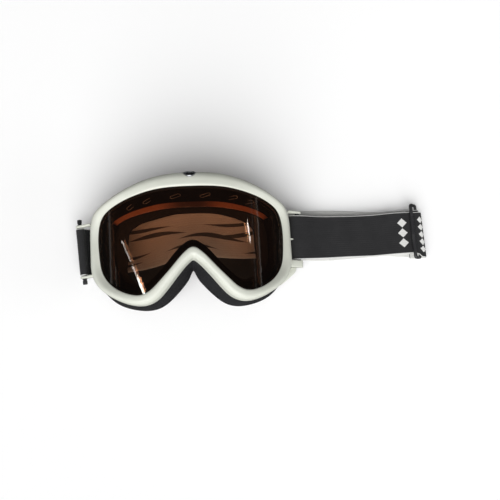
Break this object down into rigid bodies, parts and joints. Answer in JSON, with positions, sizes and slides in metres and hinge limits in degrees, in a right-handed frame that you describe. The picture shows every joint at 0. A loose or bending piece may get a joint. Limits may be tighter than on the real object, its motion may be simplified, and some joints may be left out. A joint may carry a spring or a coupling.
{
  "type": "snow goggles",
  "caption": "Snow goggles lying on their back: moulded frame, double bent lens, layered face foam and an elastic strap folded behind them, with a sliding adjuster.",
  "frame": {"origin": "on the underside of the strap where it lies on the table, on the plane of symmetry of the goggles' frame, level with the top of the nose notch", "axes": "+X to the right across the face as seen in the picture and along the folded strap, +Y up the face towards the brow, +Z out of the lens, away from the table"},
  "size_m": [0.3076, 0.1106, 0.0677],
  "materials": {
    "frame_moulding": "pale grey-white glossy moulding",
    "lens_tint": "dark rose-copper tinted polycarbonate",
    "lens_clear": "lightly tinted anti-fog sheet",
    "foam_firm": "closed-cell charcoal foam",
    "foam_soft": "open-cell black foam",
    "fleece": "short black fleece",
    "vent_foam": "open black filter foam",
    "bezel_metal": "satin silver ring",
    "badge_enamel": "black domed resin",
    "bar_plastic": "black acetal",
    "webbing": "ribbed black elastic webbing with a pale reverse",
    "thread": "dark polyester thread"
  },
  "bodies": {
    "goggles": {"frame": "frame_moulding", "lens_outer": "lens_tint", "lens_inner": "lens_clear", "lens_spacer": "foam_firm", "face_foam_firm": "foam_firm", "face_foam_soft": "foam_soft", "face_fleece": "fleece", "brow_vent_foam": "vent_foam", "cheek_vent_foam_left": "vent_foam", "cheek_vent_foam_right": "vent_foam", "badge_bezel": "bezel_metal", "badge_dome": "badge_enamel", "strap_left_loop": "webbing", "strap_left_stitching": "thread", "strap_under": "webbing", "strap_under_free": "webbing"},
    "left_pin": {"left_bar": "bar_plastic"},
    "strap": {"right_bar": "bar_plastic", "strap_right_loop": "webbing", "strap_top": "webbing", "strap_fold": "webbing", "strap_tail": "webbing"},
    "adjuster": {"slider": "bar_plastic", "strap_tail_end": "webbing", "strap_tail_stitching": "thread"}
  },
  "joints": [
    {"name": "left_bar_turn", "type": "hinge", "parent": "goggles", "child": "left_pin", "pos_m": [-0.092, 0.0025, 0.016], "axis": [-0.0663, 0.9978, 0], "continuous": true},
    {"name": "strap_swing", "type": "hinge", "parent": "goggles", "child": "strap", "pos_m": [0.092, 0.0073, 0.016], "axis": [-0.0175, -0.9998, 0], "range_deg": [0, 75], "deforming": ["strap_under_free"]},
    {"name": "slider_travel", "type": "slide", "parent": "strap", "child": "adjuster", "axis": [0.9998, -0.0175, 0], "range_m": [-0.07, 0], "deforming": ["strap_tail"]}
  ]
}
